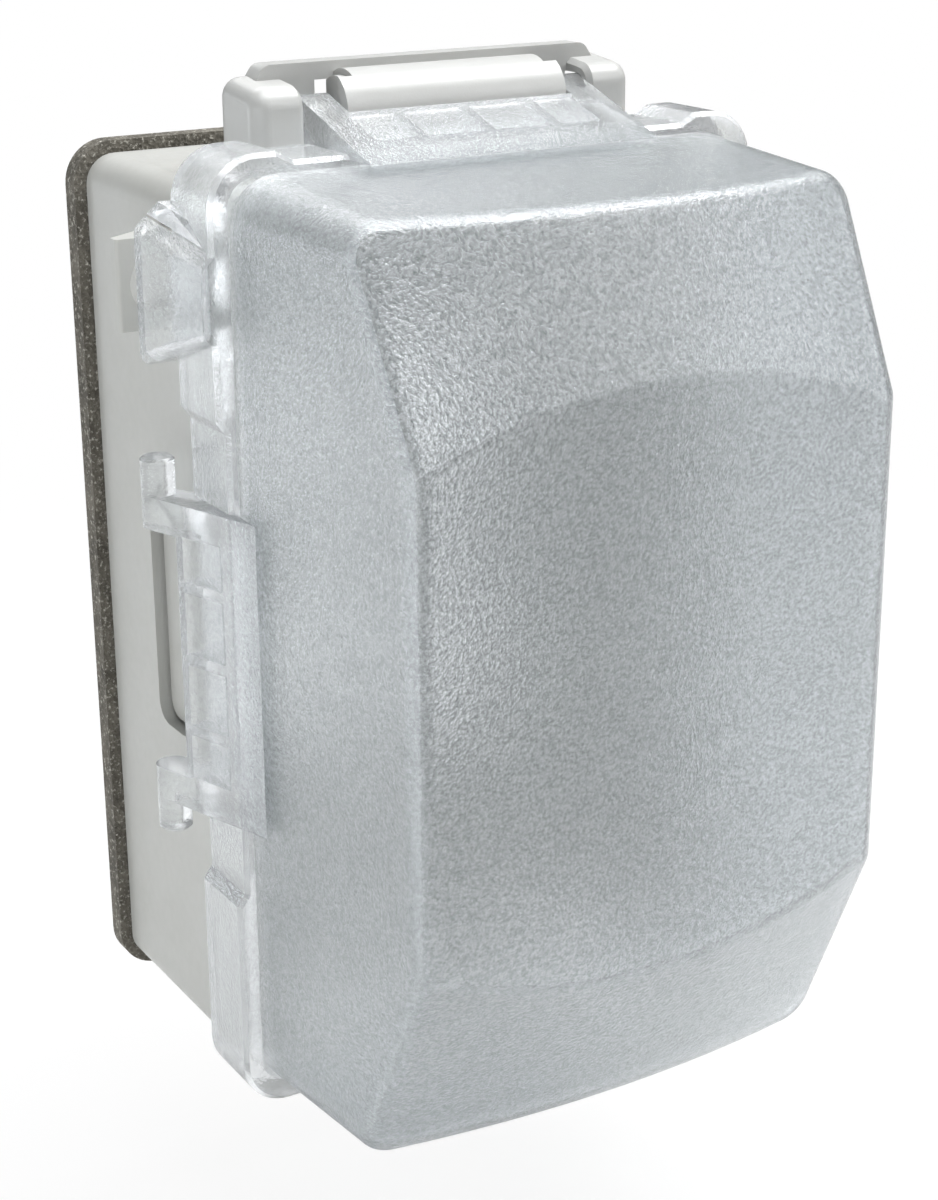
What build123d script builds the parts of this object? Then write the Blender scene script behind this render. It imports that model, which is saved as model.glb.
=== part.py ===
"""Weatherproof in-use outlet cover for one gang, with a frosted lid hinged at its top.

X points right for someone who faces the cover, Y into the wall and Z up. The origin is the middle of
the gasket's back face, so the wall is the plane Y = 0 and a depth is measured from it to the front.
"""
import os
from math import cos, radians, sin, tan

from build123d import *

# Wall gasket
gasket_thickness = 3.8
gasket_overhang = 1.9
gasket_corner = 7.0
gasket_opening_width = 47.0
gasket_screw_margin = 3.95

# Base housing
base_width = 92.0
base_height = 144.0
base_corner = 5.0
base_back_edge = 0.5
base_wall = 2.5
base_floor = 3.0
shoulder_depth = 41.9
rain_lip_width = 2.6

# Rim of the lid
rim_gap = 0.6
rim_length = 13.0
rim_wall = 2.0
rim_over_side = 0.7
rim_over_top = 4.7
rim_over_bottom = 2.65
rim_corner = 6.5
pad_rise = 1.45
pad_gap_on_side = 37.4
pad_gap_on_end = 34.1
pad_slope_on_side = 2.0
pad_slope_on_end = 2.8
neck_clearance = 0.4
lip_clearance = 1.2
swing_clearance = 1.4
ledge_thickness = 1.6
rim_bevel = 0.7

# Dome of the lid
lid_wall = 2.0
dome_step = 1.5
dome_corner = 8.0
dome_draft = 4.0
lid_depth = 102.0
upper_facet_start = 40.5
upper_facet_angle = 26.5
upper_facet_radius = 215.0
lower_facet_start = 33.0
lower_facet_angle = 24.5
lower_facet_radius = 230.0
facet_edge_radius = 3.4
shortest_front_edge = 20.0

# Hinge pegs, arms and tongue
peg_radius = 2.7
peg_length = 5.8
peg_edge = 0.4
peg_rise = 4.1
peg_depth = 38.5
arm_inner = 19.9
arm_thickness = 5.3
ramp_tilt = radians(18)
tongue_start = 45.5
core_rib_pitch = 11.8
core_rib = 1.8
core_skin = 1.7
core_front = 53.4

# Hinge bracket
bracket_clearance = 0.3
peg_fit = 0.05
plate_thickness = 4.1
cross_bar_rise = 7.1
cross_bar_half = 28.8
bar_slope_drop = 3.4
bar_corner = 2.0
ear_thickness = 8.3
ear_back = 28.8
ear_rise = 5.6
ear_fall = 1.5
ear_round = 3.2
ear_edge = 2.7
ear_inner_bevel = 0.8
knuckle_radius = 6.2
knuckle_core_radius = 5.2
knuckle_lip_thickness = 2.0
knuckle_half = 18.4
knuckle_cap_half = 17.1
knuckle_lip_half = 19.5
window_middle = 18.3
window_width = 4.2

# Hinge sockets in the base, the left one closed by a blank
collar_half = 22.3
collar_back = 18.1
collar_front = 41.4
collar_corner = 7.0
collar_rise = 0.8
socket_half = 17.8
socket_back = 24.8
socket_front = 37.3
socket_corner = 3.5
socket_drop = 3.6
socket_ledge = 1.6
socket_frame = 6.0
blank_gap = 0.7
blank_thickness = 1.7
foot_clearance = 0.15
leg_width = 8.0
leg_thickness = 1.8
leg_hook = 0.9

# Padlock tabs and the hoods over them
tab_reach = 10.9
tab_height = 13.8
tab_thickness = 2.0
tab_from_end = 13.6
tab_edge = 0.6
padlock_hole_radius = 4.5
gusset_thickness = 2.0
gusset_length = 7.0
hood_reach = 6.1
hood_half = 12.0
hood_draft = 20.0
hood_slope_drop = 3.4
hood_slope_reach = 5.0
hood_wall = 1.6
hood_edge = 2.0

# Outlet opening and its plate
outlet_radius = 17.5
outlet_height = 28.8
outlet_bridge = 10.2
outlet_screw_radius = 1.9
plate_side_bar = 5.5
plate_end_bar = 3.1
plate_corner = 3.0
device_plate_thickness = 2.4
device_plate_clearance = 0.25
rebate_ledge = 2.5
box_screw_margin = 2.45
box_screw_radius = 2.2
boss_radius = 5.0
boss_rise = 2.5

# Cord notches in the bottom wall
cord_notch_width = 15.0
cord_notch_spacing = 34.0
cord_notch_back = 30.0
rim_notch_depth = 4.5
rim_notch_corner = 4.0

wide = 400.0

rim_back = shoulder_depth + rim_gap
rim_front = rim_back + rim_length
rim_half_width = base_width / 2 + rim_over_side
rim_top = base_height / 2 + rim_over_top
rim_bottom = base_height / 2 + rim_over_bottom
rim_half_height = (rim_top + rim_bottom) / 2
lid_middle = (rim_top - rim_bottom) / 2
rim_inside_width = 2 * (rim_half_width - rim_wall)
rim_inside_height = 2 * (rim_half_height - rim_wall)
neck_width = rim_inside_width - 2 * neck_clearance
neck_bottom = rim_bottom - rim_wall - swing_clearance
floor_depth = gasket_thickness + base_floor
neck_front = rim_front - ledge_thickness - neck_clearance
arm_outer = arm_inner + arm_thickness
ear_inner = arm_outer + bracket_clearance
ear_outer = ear_inner + ear_thickness
plate_front = peg_depth - peg_radius - bracket_clearance
plate_back = plate_front - plate_thickness
ear_front = rim_back - bracket_clearance
hinge_height = rim_top + peg_rise
tab_centre = base_height / 2 - tab_from_end
outlet_spacing = outlet_height + outlet_bridge
plate_width = 2 * (outlet_radius + plate_side_bar)
plate_height = outlet_spacing + outlet_height + 2 * plate_end_bar
box_screw_spacing = plate_height + 2 * (box_screw_radius + box_screw_margin)
gasket_opening_height = box_screw_spacing - 2 * (box_screw_radius + gasket_screw_margin)
floor_of_socket = collar_rise - socket_drop

# Planes whose own x runs along Y and whose y points out of the rim: top hinge, then left hinge
top_hinge = Plane(origin=(0, 0, rim_top), x_dir=(0, 1, 0), z_dir=(1, 0, 0))
left_hinge = Plane(origin=(-rim_half_width, 0, 0), x_dir=(0, 1, 0), z_dir=(0, 0, 1))
# Planes on the base's top and left walls, facing out, whose own y runs along Y
top_wall = Plane(origin=(0, 0, base_height / 2), x_dir=(1, 0, 0), z_dir=(0, 0, 1))
left_wall = Plane(origin=(-base_width / 2, 0, 0), x_dir=(0, 0, 1), z_dir=(-1, 0, 0))


def at_depth(depth):
    """Plane parallel to the wall, seen from the front."""
    return Plane.XZ.offset(depth)


def socket_outline(half, back, front, corner, shrink=0.0):
    """Rounded rectangle on a wall plane, across the hinge and from back to front."""
    with BuildSketch() as outline:
        with Locations((0, -(back + front) / 2)):
            RectangleRounded(2 * (half - shrink), front - back - 2 * shrink, corner - shrink)
    return outline.sketch


def snap_legs(wall):
    """Two hooked legs through a socket's hole, from its ledge down past the frame inside the wall."""
    leg_end = -socket_frame - bracket_clearance
    with BuildPart() as legs:
        for side, socket_end in ((-1, socket_front), (1, socket_back)):
            edge = socket_end + side * (socket_ledge + foot_clearance)
            with BuildSketch(wall.offset(floor_of_socket)):
                with Locations((0, -edge - side * leg_thickness / 2)):
                    Rectangle(leg_width, leg_thickness)
            extrude(amount=leg_end - 2 * leg_hook - floor_of_socket)
            with BuildSketch(wall.offset(leg_end)):
                with Locations((0, -edge)):
                    Rectangle(leg_width, 2 * leg_hook)
            extrude(amount=-2 * leg_hook)
    return legs.part


def facet_cylinder(side, start, angle, radius, inset):
    """Large cylinder whose inside is kept, so that the dome's front slopes back in a bowed facet."""
    half = rim_half_width - dome_step - (lid_depth - rim_front) * tan(radians(dome_draft))
    sagitta = radius - (radius**2 - half**2) ** 0.5
    slope = radians(angle)
    edge = Vector(0, -lid_depth, side * start)
    inward = Vector(0, cos(slope), -side * sin(slope))
    along = Vector(0, sin(slope), side * cos(slope))
    centre = edge + inward * (radius - sagitta)
    with BuildPart() as cylinder:
        with BuildSketch(Plane(origin=centre, x_dir=(1, 0, 0), z_dir=along)):
            Circle(radius - inset)
        extrude(amount=wide / 2, both=True)
    return cylinder.part


def dome(inset):
    """The dome's outer form, or with an inset the space inside it."""
    with BuildPart() as form:
        with BuildSketch(at_depth(rim_front - ledge_thickness)):
            with Locations((0, lid_middle)):
                RectangleRounded(
                    2 * (rim_half_width - dome_step - inset),
                    2 * (rim_half_height - dome_step - inset),
                    dome_corner - inset,
                )
        extrude(amount=lid_depth - inset - rim_front + ledge_thickness, taper=dome_draft)
        for facet in (
            (1, upper_facet_start, upper_facet_angle, upper_facet_radius),
            (-1, lower_facet_start, lower_facet_angle, lower_facet_radius),
        ):
            add(facet_cylinder(*facet, inset), mode=Mode.INTERSECT)
        if not inset:
            front_edges = form.edges().filter_by(lambda e: e.center().Y < -(rim_front + ledge_thickness))
            fillet(front_edges.filter_by(lambda e: e.length > shortest_front_edge), facet_edge_radius)
    return form.part


def rim_outline(raised):
    """Outline of the rim, whose corners stand proud of the stretches between them."""
    with BuildSketch() as outline:
        with Locations((0, lid_middle)):
            RectangleRounded(
                2 * (rim_half_width + raised),
                2 * (rim_half_height + raised),
                rim_corner + raised,
            )
        if raised:
            for side in (1, -1):
                with BuildLine():
                    Polyline(
                        (side * rim_half_width, pad_gap_on_side),
                        (side * (rim_half_width + 2 * raised), pad_gap_on_side + 2 * pad_slope_on_side),
                        (side * (rim_half_width + 2 * raised), -pad_gap_on_side - 2 * pad_slope_on_side),
                        (side * rim_half_width, -pad_gap_on_side),
                        close=True,
                    )
                make_face(mode=Mode.SUBTRACT)
                edge = lid_middle + side * rim_half_height
                with BuildLine():
                    Polyline(
                        (pad_gap_on_end, edge),
                        (pad_gap_on_end + 2 * pad_slope_on_end, edge + side * 2 * raised),
                        (-pad_gap_on_end - 2 * pad_slope_on_end, edge + side * 2 * raised),
                        (-pad_gap_on_end, edge),
                        close=True,
                    )
                make_face(mode=Mode.SUBTRACT)
    return outline.sketch


def hood(inset):
    """Wedge over the left padlock tab, or with an inset the space in it, which is open at the back."""
    inner = rim_half_width + (pad_rise if inset else -rim_wall / 2)
    outer = rim_half_width + pad_rise + hood_reach - inset
    front = rim_front - inset
    narrower = (front - rim_back) * tan(radians(hood_draft))
    low = tab_centre - hood_half + inset
    high = tab_centre + hood_half - inset
    with BuildPart() as form:
        with BuildSketch(Plane.XY.offset(tab_centre)):
            with BuildLine():
                Polyline(
                    (-inner, -rim_back),
                    (-outer, -rim_back),
                    (-outer + narrower, -front),
                    (-inner, -front),
                    close=True,
                )
            make_face()
        extrude(amount=hood_half - inset, both=True)
        with BuildSketch(Plane.YZ):
            with BuildLine():
                Polyline(
                    (-rim_back, low),
                    (-rim_back, high),
                    (-front, high - narrower),
                    (-front, low + narrower),
                    close=True,
                )
            make_face()
        extrude(amount=-wide, mode=Mode.INTERSECT)
        outer_face = form.faces().sort_by(Axis.X)[0]
        corner = outer_face.edges().sort_by(Axis.Z)[-1]
        slope_reach = min(hood_slope_reach, outer - narrower - inner)
        chamfer(corner, hood_slope_drop, slope_reach, reference=outer_face)
        outer_face = form.faces().sort_by(Axis.X)[0]
        long_edges = outer_face.edges().sort_by(Axis.Z)
        fillet([long_edges[0], long_edges[-1]], hood_edge - inset / 2)
    return form.part


def rim():
    """The lid's rim as a solid block with its front edges bevelled, still without the space inside."""
    with BuildPart() as form:
        with BuildSketch(at_depth(rim_back)):
            add(rim_outline(0))
        extrude(amount=rim_length)
        with BuildSketch(at_depth(rim_back)):
            add(rim_outline(pad_rise))
        extrude(amount=rim_length)
        chamfer(form.faces().sort_by(Axis.Y)[0].edges(), rim_bevel)
    return form.part


def ramp_rise(depth):
    """Height over the rim of a tongue's ramp, which touches the outside of the peg."""
    touch_depth = peg_depth + peg_radius * sin(ramp_tilt)
    touch_rise = peg_rise + peg_radius * cos(ramp_tilt)
    return touch_rise - (depth - touch_depth) * tan(ramp_tilt)


def tongue_profile():
    """Side view of a hinge arm: a ramp from the dome's wall over the rim to the peg."""
    foot_depth = peg_depth + (ramp_rise(peg_depth) + dome_step / 2) / tan(ramp_tilt)
    with BuildSketch() as profile:
        with Locations((-peg_depth, peg_rise)):
            Circle(peg_radius)
        with BuildLine():
            Polyline(
                (-peg_depth, peg_rise),
                (-foot_depth, ramp_rise(foot_depth)),
                (-rim_back, -rim_wall / 2),
                close=True,
            )
        make_face()
        make_hull()
    return profile.sketch


def core_profile():
    """Side view of the hollow in a tongue, between the rim and the ramp's skin."""
    with BuildSketch() as profile:
        with BuildLine():
            Polyline(
                (-tongue_start, 0),
                (-tongue_start, ramp_rise(tongue_start) - core_skin),
                (-core_front, ramp_rise(core_front) - core_skin),
                (-core_front, 0),
                close=True,
            )
        make_face()
    return profile.sketch


def peg():
    """Hinge peg on its own axis, with a bevelled end."""
    with BuildPart() as form:
        Cylinder(peg_radius, peg_length, align=(Align.CENTER, Align.CENTER, Align.MIN))
        chamfer(form.faces().sort_by(Axis.Z)[-1].edges(), peg_edge)
    return form.part


def ear(side):
    """Bracket ear on one side, with a top that falls to the front and rounded outer edges."""
    with BuildPart() as form:
        with BuildSketch(Plane.YZ.offset(side * (ear_inner + ear_thickness / 2))):
            with BuildLine():
                Polyline(
                    (-ear_back, base_height / 2),
                    (-ear_back, hinge_height + ear_rise),
                    (-ear_front, hinge_height + ear_rise - ear_fall),
                    (-ear_front, base_height / 2),
                    close=True,
                )
            make_face()
        extrude(amount=ear_thickness / 2, both=True)
        fillet(form.faces().sort_by(Axis.Z)[-1].edges().filter_by(Axis.X), ear_round)
        inner_face, outer_face = form.faces().filter_by(Axis.X).sort_by(lambda f: abs(f.center().X))
        free_edges = outer_face.edges().filter_by(lambda e: e.center().Z > base_height / 2)
        fillet(free_edges, ear_edge)
        chamfer(inner_face.edges().filter_by(lambda e: e.center().Z > hinge_height), ear_inner_bevel)
    return form.part


with BuildPart() as wall_gasket:
    with BuildSketch(at_depth(0)):
        RectangleRounded(base_width + 2 * gasket_overhang, base_height + 2 * gasket_overhang, gasket_corner)
        RectangleRounded(gasket_opening_width, gasket_opening_height, plate_corner, mode=Mode.SUBTRACT)
        with GridLocations(0, box_screw_spacing, 1, 2):
            Circle(box_screw_radius, mode=Mode.SUBTRACT)
    extrude(amount=gasket_thickness)

with BuildPart() as base_housing:
    # The outer tub, with the neck that the lid closes over
    with BuildSketch(at_depth(gasket_thickness)):
        RectangleRounded(base_width, base_height, base_corner)
    extrude(amount=shoulder_depth - gasket_thickness)
    with BuildSketch(at_depth(gasket_thickness)):
        with Locations((0, (base_height / 2 - neck_bottom) / 2)):
            RectangleRounded(neck_width, base_height / 2 + neck_bottom, base_corner)
    extrude(amount=neck_front - gasket_thickness)
    lip_top = rim_top - rim_wall - lip_clearance
    with BuildSketch(at_depth(neck_front - rain_lip_width)):
        with Locations((0, (lip_top - neck_bottom) / 2)):
            RectangleRounded(neck_width, lip_top + neck_bottom, base_corner)
    extrude(amount=rain_lip_width)
    chamfer(base_housing.edges().group_by(Axis.Y)[-1], base_back_edge)
    # Its inside
    with BuildSketch(at_depth(floor_depth)):
        with Locations((0, (base_height / 2 - neck_bottom) / 2)):
            RectangleRounded(
                neck_width - 2 * base_wall,
                base_height / 2 + neck_bottom - 2 * base_wall,
                base_corner - base_wall / 2,
            )
    extrude(amount=neck_front - floor_depth, mode=Mode.SUBTRACT)
    # Collars and thicker wall round the hinge sockets
    for wall in (top_wall, left_wall):
        with BuildSketch(wall.offset(collar_rise)):
            add(socket_outline(collar_half, collar_back, collar_front, collar_corner))
        extrude(amount=-collar_rise)
        with BuildSketch(wall.offset(-base_wall)):
            add(socket_outline(collar_half, collar_back, collar_front, collar_corner))
        extrude(amount=-(socket_frame - base_wall))
        with BuildSketch(wall.offset(collar_rise)):
            add(socket_outline(socket_half, socket_back, socket_front, socket_corner))
        extrude(amount=-socket_drop, mode=Mode.SUBTRACT)
        with BuildSketch(wall):
            add(socket_outline(socket_half, socket_back, socket_front, socket_corner, socket_ledge))
        extrude(amount=-socket_frame - base_wall, mode=Mode.SUBTRACT)
    # Padlock tabs: high on the left wall and low on the right wall
    for side in (-1, 1):
        tab_middle = -side * tab_centre
        with BuildSketch(at_depth(shoulder_depth)):
            with Locations((side * (base_width / 2 + tab_reach / 2), tab_middle)):
                Rectangle(tab_reach, tab_height)
            with Locations((side * (base_width / 2 + padlock_hole_radius), tab_middle)):
                Circle(padlock_hole_radius, mode=Mode.SUBTRACT)
        extrude(amount=-tab_thickness)
        for end in (-1, 1):
            level = tab_middle + end * (tab_height / 2 - gusset_thickness / 2)
            with BuildSketch(Plane.XY.offset(level)):
                with BuildLine():
                    Polyline(
                        (side * base_width / 2, -shoulder_depth),
                        (side * (base_width / 2 + tab_reach), -shoulder_depth),
                        (side * (base_width / 2 + tab_reach), -shoulder_depth + tab_thickness),
                        (side * base_width / 2, -shoulder_depth + tab_thickness + gusset_length),
                        close=True,
                    )
                make_face()
            extrude(amount=gusset_thickness / 2, both=True)
        outer_face = base_housing.faces().sort_by(Axis.X)[-1 if side > 0 else 0]
        fillet(outer_face.edges().filter_by(Axis.Z).sort_by(Axis.Y)[0], tab_edge)
    # Back wall: rebate for the outlet plate, opening, screw bosses and holes
    with BuildSketch(at_depth(floor_depth)):
        RectangleRounded(plate_width + 2 * base_wall, plate_height + 2 * base_wall, plate_corner + base_wall)
        with GridLocations(0, box_screw_spacing, 1, 2):
            Circle(boss_radius)
    extrude(amount=boss_rise)
    with BuildSketch(at_depth(floor_depth + boss_rise)):
        RectangleRounded(plate_width, plate_height, plate_corner)
    extrude(amount=-device_plate_thickness, mode=Mode.SUBTRACT)
    with BuildSketch(at_depth(gasket_thickness)):
        RectangleRounded(plate_width - 2 * rebate_ledge, plate_height - 2 * rebate_ledge, plate_corner)
        with GridLocations(0, box_screw_spacing, 1, 2):
            Circle(box_screw_radius)
    extrude(amount=base_floor + boss_rise, mode=Mode.SUBTRACT)
    # Cord notches through the bottom wall, open at the front
    with BuildSketch(Plane.XY.offset(-rim_bottom)):
        with GridLocations(cord_notch_spacing, 0, 2, 1):
            with Locations((0, -cord_notch_back - cord_notch_width / 2)):
                Circle(cord_notch_width / 2)
            with Locations((0, -cord_notch_back - (cord_notch_width + wide) / 2)):
                Rectangle(cord_notch_width, wide)
    extrude(amount=rim_over_bottom + 2 * base_wall, mode=Mode.SUBTRACT)

with BuildPart() as side_socket_blank:
    with BuildSketch(left_wall.offset(floor_of_socket)):
        add(socket_outline(socket_half, socket_back, socket_front, socket_corner, blank_gap))
    extrude(amount=blank_thickness)
    add(snap_legs(left_wall))

with BuildPart() as device_plate:
    with BuildSketch(at_depth(floor_depth + boss_rise)):
        RectangleRounded(
            plate_width - 2 * device_plate_clearance,
            plate_height - 2 * device_plate_clearance,
            plate_corner,
        )
        Circle(outlet_screw_radius, mode=Mode.SUBTRACT)
        for middle in (-outlet_spacing / 2, outlet_spacing / 2):
            with BuildSketch(mode=Mode.PRIVATE) as window:
                Circle(outlet_radius)
                Rectangle(2 * outlet_radius, outlet_height, mode=Mode.INTERSECT)
            with Locations((0, middle)):
                add(window.sketch, mode=Mode.SUBTRACT)
    extrude(amount=-device_plate_thickness)

with BuildPart() as hinge_bracket:
    # Back plate with its cross bar
    with BuildSketch(at_depth(plate_back)) as plate:
        with BuildLine():
            bar_top = hinge_height + cross_bar_rise
            plate_half = ear_outer - ear_edge
            Polyline(
                (-plate_half, base_height / 2 + collar_rise),
                (-plate_half, bar_top - bar_slope_drop),
                (-cross_bar_half, bar_top),
                (cross_bar_half, bar_top),
                (plate_half, bar_top - bar_slope_drop),
                (plate_half, base_height / 2 + collar_rise),
                close=True,
            )
        make_face()
        fillet(plate.vertices().group_by(Axis.Y)[-1], bar_corner)
    extrude(amount=plate_thickness)
    add(ear(-1))
    add(ear(1))
    # Knuckle between the lid's arms: core, cap and front lip are parts of cylinders about the pegs' axis
    for radius, half, lowest in (
        (knuckle_core_radius, knuckle_half, -knuckle_core_radius),
        (knuckle_radius, knuckle_cap_half, 0.0),
    ):
        with BuildSketch(Plane.YZ):
            with Locations((-peg_depth, hinge_height)):
                Circle(radius)
            with Locations((-plate_front + wide / 2, hinge_height)):
                Rectangle(wide, wide, mode=Mode.SUBTRACT)
            with Locations((-peg_depth, hinge_height + lowest - wide / 2)):
                Rectangle(wide, wide, mode=Mode.SUBTRACT)
        extrude(amount=half, both=True)
    with BuildSketch(Plane.YZ):
        with Locations((-peg_depth, hinge_height)):
            Circle(knuckle_radius)
            Circle(knuckle_radius - knuckle_lip_thickness, mode=Mode.SUBTRACT)
        with Locations((-peg_depth + wide / 2 - knuckle_radius / 2, hinge_height)):
            Rectangle(wide, wide, mode=Mode.SUBTRACT)
        with Locations((-peg_depth, hinge_height - wide / 2)):
            Rectangle(wide, wide, mode=Mode.SUBTRACT)
    extrude(amount=knuckle_lip_half, both=True)
    # Foot in the base's top socket, with two snap legs
    with BuildSketch(top_wall.offset(floor_of_socket)):
        add(socket_outline(socket_half, socket_back, socket_front, socket_corner, foot_clearance))
    extrude(amount=socket_drop)
    with BuildSketch(top_wall.offset(collar_rise)):
        with Locations((0, -(plate_back + socket_front) / 2)):
            Rectangle(2 * knuckle_half, socket_front - plate_back)
    extrude(amount=rim_over_top + peg_rise - collar_rise)
    add(snap_legs(top_wall))
    # Peg seats, open to the back
    for side in (-1, 1):
        with BuildSketch(Plane.YZ.offset(side * (ear_inner + peg_length / 2))):
            with Locations((-peg_depth, hinge_height)):
                Circle(peg_radius + peg_fit)
            with Locations((-peg_depth + wide / 2, hinge_height)):
                Rectangle(wide, 2 * (peg_radius + peg_fit))
        extrude(amount=peg_length / 2 + bracket_clearance, both=True, mode=Mode.SUBTRACT)
    # Windows beside the knuckle
    with BuildSketch(at_depth(plate_front)):
        for side in (-1, 1):
            with Locations((side * window_middle, hinge_height)):
                Rectangle(window_width, 2 * (cross_bar_rise - peg_radius))
    extrude(amount=-plate_thickness, mode=Mode.SUBTRACT)

with BuildPart() as lid:
    # Rim with its raised corners, and the dome
    add(rim())
    add(dome(0))
    # Hoods over the padlock tabs: high on the left side and low on the right side
    for turn in (0, 180):
        with Locations(Location((0, 0, 0), (0, turn, 0))):
            add(hood(0))
            add(hood(hood_wall), mode=Mode.SUBTRACT)
    # Tongues with arms and pegs, at the top and on the left
    for hinge in (top_hinge, left_hinge):
        for side in (-1, 1):
            with BuildSketch(hinge.offset(side * (arm_inner + arm_thickness / 2))):
                add(tongue_profile())
            extrude(amount=arm_thickness / 2, both=True)
            with Locations(hinge.offset(side * arm_outer)):
                with Locations(Location((-peg_depth, peg_rise, 0), (90 - side * 90, 0, 0))):
                    add(peg())
        with BuildSketch(hinge):
            add(tongue_profile())
            with Locations((-tongue_start + wide / 2, 0)):
                Rectangle(wide, wide, mode=Mode.SUBTRACT)
        extrude(amount=arm_inner, both=True)
        # Hollow under the ramp's skin, open at the back, with three ribs across it
        with BuildSketch(hinge):
            add(core_profile())
        extrude(amount=arm_inner, both=True, mode=Mode.SUBTRACT)
        for rib in (-1, 0, 1):
            with BuildSketch(hinge.offset(rib * core_rib_pitch)):
                add(core_profile())
            extrude(amount=core_rib / 2, both=True)
    # The space inside the rim and the dome
    with BuildSketch(at_depth(rim_back)):
        with Locations((0, lid_middle)):
            RectangleRounded(rim_inside_width, rim_inside_height, rim_corner - rim_wall)
    extrude(amount=rim_length - ledge_thickness, mode=Mode.SUBTRACT)
    add(dome(lid_wall), mode=Mode.SUBTRACT)
    # Notch in the rim between the arms, for the knuckle
    for hinge in (top_hinge, left_hinge):
        with BuildSketch(hinge):
            with Locations((-(rim_back + tongue_start) / 2, 0)):
                Rectangle(tongue_start - rim_back, 4 * rim_wall)
        extrude(amount=arm_inner, both=True, mode=Mode.SUBTRACT)
    # Notches in the rim's bottom, across from the base's cord notches
    with BuildSketch(Plane.XY.offset(-rim_bottom)):
        with Locations((0, -rim_back)):
            with GridLocations(cord_notch_spacing, 0, 2, 1):
                RectangleRounded(cord_notch_width, 2 * rim_notch_depth, rim_notch_corner)
    extrude(amount=2 * rim_wall, both=True, mode=Mode.SUBTRACT)

os.makedirs("parts", exist_ok=True)

for piece, label in (
    (wall_gasket, "wall_gasket"),
    (base_housing, "base_housing"),
    (side_socket_blank, "side_socket_blank"),
    (device_plate, "device_plate"),
    (hinge_bracket, "hinge_bracket"),
    (lid, "lid"),
):
    piece.part.label = label
    export_step(piece.part, f"parts/{label}.step")
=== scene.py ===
"""Looks for the weatherproof in-use outlet cover: frosted lid, grey mouldings, foam gasket."""

import math

import bpy
from mathutils import Matrix, Vector

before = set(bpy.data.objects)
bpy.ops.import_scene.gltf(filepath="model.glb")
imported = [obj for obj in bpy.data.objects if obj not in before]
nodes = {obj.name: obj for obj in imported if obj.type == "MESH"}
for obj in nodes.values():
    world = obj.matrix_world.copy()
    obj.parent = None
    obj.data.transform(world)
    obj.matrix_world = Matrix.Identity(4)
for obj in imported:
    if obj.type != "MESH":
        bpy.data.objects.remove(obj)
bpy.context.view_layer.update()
scene = bpy.context.scene
scene.view_settings.view_transform = "Standard"

# Camera, as found by fitting the photograph's corners: degrees, metres and pixels
CAMERA_YAW, CAMERA_PITCH, CAMERA_ROLL = 30.76, 19.37, 0.44
CAMERA_PLACE = (-0.1856, -0.35802, 0.12802)
FOCAL_PIXELS, PHOTO_HEIGHT = 2329.83, 1200
SENSOR_SIZE = 36
CLIP_START = 0.01

# Plastics and foam
PLASTIC_IOR = 1.5
NOISE_LOW, NOISE_HIGH = 0.3, 0.7  # the span that most of a noise's values lie in
RIM_END, DOME_START = -0.0555, -0.0575  # the lid's depths (Y) between which its finish changes
# the ridge tints, paler than the pits, paint the stipple's glints into the lid's colour
RIM_PITS, RIM_RIDGE_GLINTS = (0.78, 0.795, 0.805, 1), (0.93, 0.94, 0.95, 1)
DOME_PITS, DOME_RIDGE_GLINTS = (0.53, 0.555, 0.565, 1), (0.87, 0.895, 0.91, 1)
RIM_SHADE, DOME_SHADE = (0.86, 0.87, 0.88, 1), (0.45, 0.46, 0.47, 1)  # of the light let through
FLOW_DARK, FLOW_PALE = 0.965, 1.02  # shares of a moulding's own grey
WARMTH_PALE = 0.8
FOAM_DARK, FOAM_BROWN = (0.07, 0.063, 0.05, 1), (0.14, 0.128, 0.105, 1)
# pale speckle: the cut cells' own colour and painted glints
FOAM_SPECKLE_GLINT = (0.46, 0.44, 0.39, 1)

# Lamps, world and floor
WHITE, COOL_WHITE, SKY_WHITE = (1, 1, 1), (0.97, 0.99, 1), (0.93, 0.97, 1)
PURE_WHITE, MATT_WHITE = (1, 1, 1, 1), (0.85, 0.85, 0.85, 1)
MIDDLE, TOP_EDGE = (0, -0.04, 0), (0, -0.04, 0.07)
LAMPS = (  # name, place, aim, size, watts, colour
    ("top_light", (0.1, -0.15, 0.75), MIDDLE, (0.8, 0.5), 8.2, COOL_WHITE),
    ("edge_light", (0.5, -0.2, 0.8), (0, -0.06, 0.07), (0.4, 0.3), 5.6, WHITE),
    ("facet_light", (0.6, -0.8, 0.45), MIDDLE, (0.35, 0.3), 1.9, WHITE),
    ("low_light", (-0.55, -0.3, -0.005), MIDDLE, (0.8, 0.2), 1.95, COOL_WHITE),
    ("side_light", (-0.6, 0.6, -0.01), (-0.05, -0.07, 0), (0.4, 0.3), 1.5, SKY_WHITE),
    ("back_light", (0.1, 0.5, 0.7), TOP_EDGE, (0.5, 0.4), 2.6, WHITE),
)
WORLD_LEVEL = 0.06  # strength of the world as light
WORLD_THROUGH_LID, FLOOR_THROUGH_LID = 0.12, 0.2
FLOOR_HALF, FLOOR_LEVEL = 3.0, -0.115
FLOOR_NEAR, FLOOR_FAR = 0.15, 0.5  # distances between which the shadow's share fades out
NEAR_GLOW = 0.9


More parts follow.
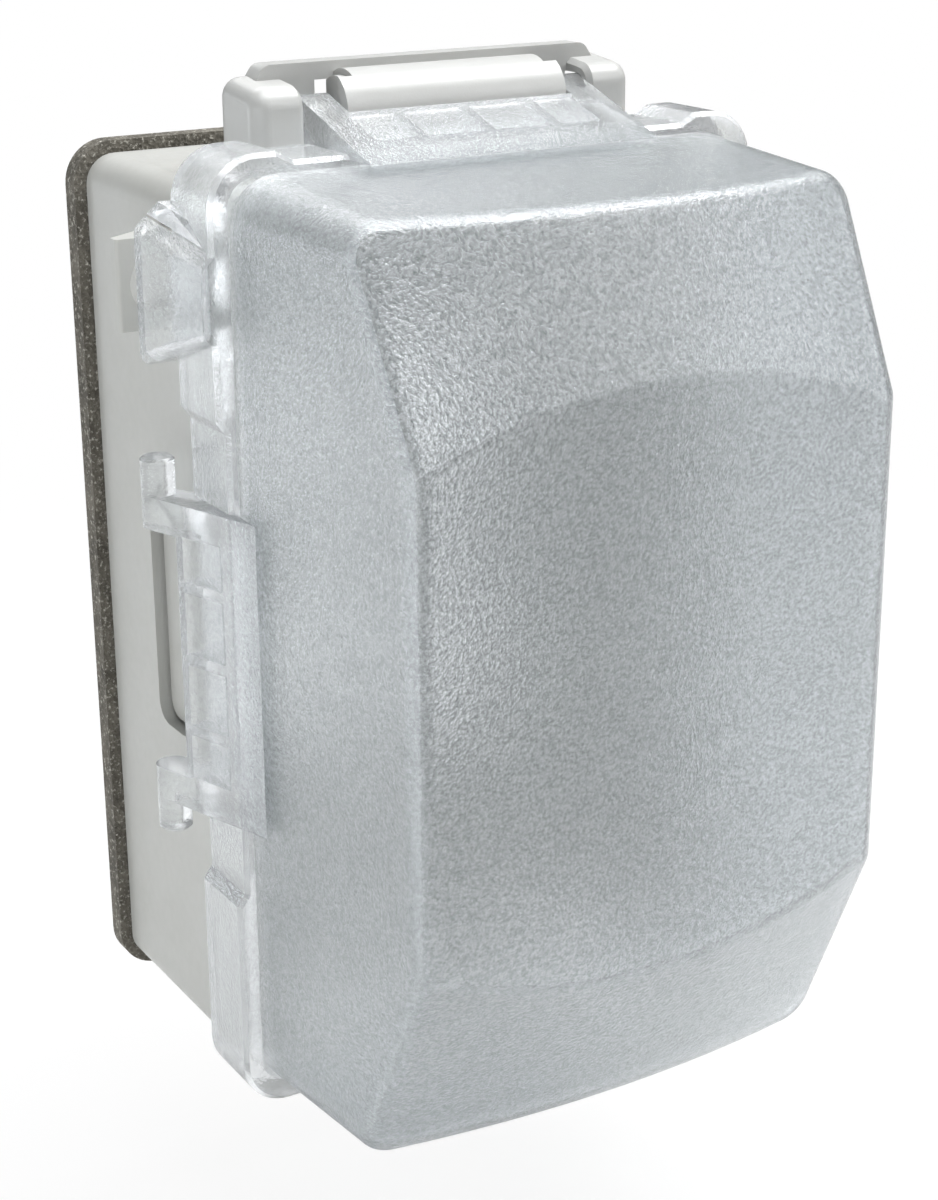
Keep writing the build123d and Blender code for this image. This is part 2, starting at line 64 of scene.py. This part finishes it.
class Nodes:
    """Adds shader nodes to a tree and links them; inputs are given in order or by name."""

    def __init__(self, tree):
        self.tree = tree
        tree.nodes.clear()

    def put(self, socket, value):
        if isinstance(value, bpy.types.NodeSocket):
            self.tree.links.new(value, socket)
        else:
            socket.default_value = value

    def add(self, kind, *ordered, settings=None, **named):
        node = self.tree.nodes.new(kind)
        for key, value in (settings or {}).items():
            setattr(node, key, value)
        for socket, value in zip(node.inputs, ordered):
            self.put(socket, value)
        for name, value in named.items():
            self.put(node.inputs[name.replace("_", " ")], value)
        return node

    def coords(self):
        return self.add("ShaderNodeTexCoord").outputs["Object"]

    def noise(self, coords, scale, detail, rough):
        return self.add("ShaderNodeTexNoise", Vector=coords, Scale=scale, Detail=detail,
                        Roughness=rough).outputs["Fac"]

    def range(self, value, low, high, to_low=0, to_high=1):
        return self.add("ShaderNodeMapRange", value, low, high, to_low, to_high).outputs[0]

    def math(self, operation, a, b):
        return self.add("ShaderNodeMath", a, b, settings={"operation": operation}).outputs[0]

    def mix(self, factor, a, b):
        """Mixes two colours, whose sockets stand behind those for numbers and vectors."""
        node = self.add("ShaderNodeMix", factor, settings={"data_type": "RGBA"})
        self.put(node.inputs[6], a)
        self.put(node.inputs[7], b)
        return node.outputs[2]

    def bump(self, height, strength, distance):
        return self.add("ShaderNodeBump", Strength=strength, Distance=distance,
                        Height=height).outputs[0]

    def seen(self, through_lid):
        """1 for the camera's rays, through_lid for those that pass the lid straight, else 0."""
        path = self.add("ShaderNodeLightPath").outputs
        clean = self.math("LESS_THAN", path["Diffuse Depth"], 0.5)
        through = self.math("MULTIPLY", path["Is Transmission Ray"], clean)
        through = self.math("MULTIPLY", through, through_lid)
        return self.math("MAXIMUM", path["Is Camera Ray"], through)

    def surface(self, shader, kind="ShaderNodeOutputMaterial"):
        self.add(kind, Surface=shader.outputs[0])


def material(name):
    made = bpy.data.materials.new(name)
    made.use_nodes = True
    return made, Nodes(made.node_tree)


def grey(value, warmth):
    return (value, value, value - warmth, 1)


def lid_plastic():
    """Clear polycarbonate, stippled outside on the dome and smoother on rim, arms and pegs.

    Shadow rays pass straight through it, dimmed, so that the lamps light what it covers.
    """
    made, n = material("lid_plastic")
    coords = n.coords()
    depth = n.add("ShaderNodeSeparateXYZ", Vector=coords).outputs["Y"]
    on_dome = n.range(depth, RIM_END, DOME_START)

    def by_part(rim, dome):
        return n.range(on_dome, 0, 1, rim, dome)

    stipple = n.noise(coords, scale=1850, detail=2, rough=0.6)
    drift = n.noise(coords, scale=700, detail=2, rough=0.5)
    fine = n.noise(coords, scale=4200, detail=2, rough=0.5)
    broad = n.noise(coords, scale=60, detail=3, rough=0.6)
    height = n.math("MULTIPLY", stipple, by_part(rim=0.5, dome=1))
    height = n.math("ADD", height, n.math("MULTIPLY", drift, by_part(rim=0.15, dome=0.3)))
    height = n.math("ADD", height, n.math("MULTIPLY", fine, by_part(rim=0.03, dome=0.15)))
    patchy = n.range(broad, NOISE_LOW, NOISE_HIGH, -0.02, 0.02)
    rough = n.math("ADD", by_part(rim=0.1, dome=0.2), patchy)
    # paler tint on the stipple's ridges: painted glints on a darker ground
    ridge_glints = n.range(stipple, 0.4, 0.56)
    tint_with_glints = n.mix(on_dome, n.mix(ridge_glints, RIM_PITS, RIM_RIDGE_GLINTS),
                 n.mix(ridge_glints, DOME_PITS, DOME_RIDGE_GLINTS))
    clear = n.add("ShaderNodeBsdfPrincipled", Base_Color=tint_with_glints, Roughness=rough, IOR=PLASTIC_IOR,
                  Transmission_Weight=by_part(rim=0.9, dome=0.85),
                  Normal=n.bump(height, strength=1.0, distance=0.0002))
    passing = n.add("ShaderNodeBsdfTransparent", Color=n.mix(on_dome, RIM_SHADE, DOME_SHADE))
    shadow = n.add("ShaderNodeLightPath").outputs["Is Shadow Ray"]
    n.surface(n.add("ShaderNodeMixShader", shadow, clear.outputs[0], passing.outputs[0]))
    return made


def moulding(name, shade, warmth, rough=0.42):
    """Satin grey moulded plastic with a spark-eroded grain, faint flow and a soft inside glow."""
    made, n = material(name)
    coords = n.coords()
    grain = n.noise(coords, scale=3200, detail=2, rough=0.5)
    flow = n.noise(coords, scale=45, detail=3, rough=0.55)
    fine = n.noise(coords, scale=600, detail=2, rough=0.5)
    colour = n.mix(n.range(flow, NOISE_LOW, NOISE_HIGH), grey(shade * FLOW_DARK, warmth),
                   grey(shade * FLOW_PALE, warmth * WARMTH_PALE))
    n.surface(n.add("ShaderNodeBsdfPrincipled", Base_Color=colour, IOR=PLASTIC_IOR,
                    Roughness=n.range(fine, NOISE_LOW, NOISE_HIGH, rough - 0.05, rough + 0.05),
                    Subsurface_Weight=0.05, Subsurface_Radius=(1.0, 0.85, 0.7),
                    Subsurface_Scale=0.0015,
                    Normal=n.bump(grain, strength=0.35, distance=0.00005)))
    return made


def foam():
    """Dark closed-cell foam with pale speckles: its cut cells' own colour and painted glints."""
    made, n = material("gasket_foam")
    coords = n.coords()
    cells = n.add("ShaderNodeTexVoronoi", Vector=coords, Scale=1500).outputs["Distance"]
    clumps = n.noise(coords, scale=1300, detail=4, rough=0.7)
    patches = n.noise(coords, scale=260, detail=3, rough=0.6)
    dark = n.mix(n.range(patches, 0.35, 0.65), FOAM_DARK, FOAM_BROWN)
    # pale speckles: cut-cell colour and painted glints
    colour = n.mix(n.range(clumps, 0.54, 0.68), dark, FOAM_SPECKLE_GLINT)
    height = n.math("ADD", cells, clumps)
    n.surface(n.add("ShaderNodeBsdfPrincipled", Base_Color=colour, Roughness=0.85,
                    Normal=n.bump(height, strength=1.0, distance=0.0003)))
    return made


def dress(node, made):
    """Gives a CAD node its material."""
    o = nodes[node]
    o.data.materials.clear()
    o.data.materials.append(made)


def add_object(name, data):
    o = bpy.data.objects.new(name, data)
    scene.collection.objects.link(o)
    return o


def add_camera():
    """Stands at CAMERA_PLACE, turned from +Y by the yaw, down by the pitch, then rolled."""
    yaw, pitch, roll = (math.radians(a) for a in (CAMERA_YAW, CAMERA_PITCH, CAMERA_ROLL))
    forward = Vector((math.sin(yaw) * math.cos(pitch), math.cos(yaw) * math.cos(pitch),
                      -math.sin(pitch)))
    level = Vector((math.cos(yaw), -math.sin(yaw), 0))
    down = forward.cross(level)
    right = level * math.cos(roll) + down * math.sin(roll)
    up = level * math.sin(roll) - down * math.cos(roll)
    turn = Matrix((right, up, -forward)).transposed()
    data = bpy.data.cameras.new("camera")
    data.sensor_width = SENSOR_SIZE
    data.lens = SENSOR_SIZE * FOCAL_PIXELS / PHOTO_HEIGHT
    data.clip_start = CLIP_START
    camera = add_object("camera", data)
    camera.matrix_world = Matrix.Translation(CAMERA_PLACE) @ turn.to_4x4()
    return camera


def add_lamp(name, place, aim, size, power, colour):
    data = bpy.data.lights.new(name, "AREA")
    data.shape = "RECTANGLE"
    data.size, data.size_y = size
    data.energy = power
    data.color = colour
    o = add_object(name, data)
    o.location = place
    o.rotation_mode = "QUATERNION"
    o.rotation_quaternion = (Vector(aim) - Vector(place)).to_track_quat("-Z", "Y")


def add_world():
    """White to the camera, dimmer through the lid, and only a faint level as light."""
    world = bpy.data.worlds.new("world")
    world.use_nodes = True
    n = Nodes(world.node_tree)
    strength = n.range(n.seen(WORLD_THROUGH_LID), 0, 1, WORLD_LEVEL, 1.0)
    n.surface(n.add("ShaderNodeBackground", Color=PURE_WHITE, Strength=strength),
              "ShaderNodeOutputWorld")
    return world


def add_floor():
    """White to the camera; near the object a part of it is matt and shows the soft shadow."""
    mesh = bpy.data.meshes.new("floor")
    corners = [(x * FLOOR_HALF, y * FLOOR_HALF, 0) for x, y in ((-1, -1), (1, -1), (1, 1), (-1, 1))]
    mesh.from_pydata(corners, [], [(0, 1, 2, 3)])
    made, n = material("floor_white")
    matt = n.add("ShaderNodeBsdfDiffuse", Color=MATT_WHITE)
    glow = n.add("ShaderNodeEmission", Color=PURE_WHITE, Strength=1.0)
    far = n.add("ShaderNodeVectorMath", settings={"operation": "LENGTH"},
                Vector=n.coords()).outputs["Value"]
    share = n.math("MULTIPLY", n.seen(FLOOR_THROUGH_LID),
                   n.range(far, FLOOR_NEAR, FLOOR_FAR, NEAR_GLOW, 1.0))
    n.surface(n.add("ShaderNodeMixShader", share, matt.outputs[0], glow.outputs[0]))
    mesh.materials.append(made)
    floor = add_object("floor", mesh)
    floor.location = (0, 0, FLOOR_LEVEL)
    return floor


# Blender's own first objects, where the scene starts with them
for name in ("Camera", "Cube", "Light"):
    if name in bpy.data.objects:
        bpy.data.objects.remove(bpy.data.objects[name])

scene.camera = add_camera()

base_plastic = moulding("base_plastic", 0.41, 0.022)
dress("base_housing", base_plastic)
dress("side_socket_blank", base_plastic)
dress("hinge_bracket", moulding("hinge_plastic", 0.43, 0.012, rough=0.36))
dress("device_plate", moulding("plate_plastic", 0.48, 0.0))
dress("wall_gasket", foam())
dress("lid", lid_plastic())

for lamp in LAMPS:
    add_lamp(*lamp)
scene.world = add_world()
floor = add_floor()
